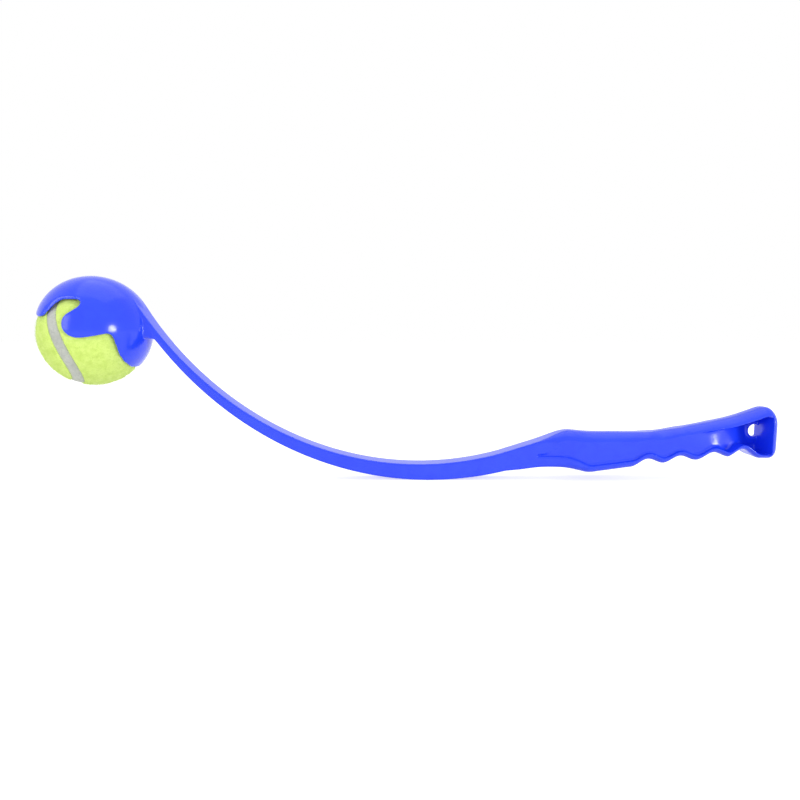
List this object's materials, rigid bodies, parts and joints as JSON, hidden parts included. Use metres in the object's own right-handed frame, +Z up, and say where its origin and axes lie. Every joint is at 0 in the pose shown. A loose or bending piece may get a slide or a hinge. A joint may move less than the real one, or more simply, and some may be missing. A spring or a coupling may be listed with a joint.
{
  "type": "dog ball thrower",
  "caption": "One-piece plastic thrower with a clawed cup that grips a tennis ball, a curved springy arm and a grip with finger grooves.",
  "frame": {"origin": "middle of the underside of the bounding box, with the thrower level as in the picture", "axes": "+X along the thrower from the cup to the grip's butt, +Y across it and away from the grip's open side, +Z up"},
  "size_m": [0.466, 0.0676, 0.1295],
  "materials": {
    "blue_plastic": "glossy moulded blue plastic",
    "ball_rubber": "matt moulded rubber",
    "yellow_felt": "fluffy felt, lime yellow",
    "seam_cement": "matt pale grey"
  },
  "bodies": {
    "launcher": {"launcher_moulding": "blue_plastic"},
    "ball": {"ball_core_half_a": "ball_rubber", "ball_core_half_b": "ball_rubber", "ball_felt_panel_a": "yellow_felt", "ball_felt_panel_b": "yellow_felt", "ball_seam_cement": "seam_cement"}
  },
  "joints": [
    {"name": "ball_release", "type": "slide", "parent": "launcher", "child": "ball", "axis": [-0.4617, 0, -0.887], "range_m": [0, 0.06]}
  ]
}
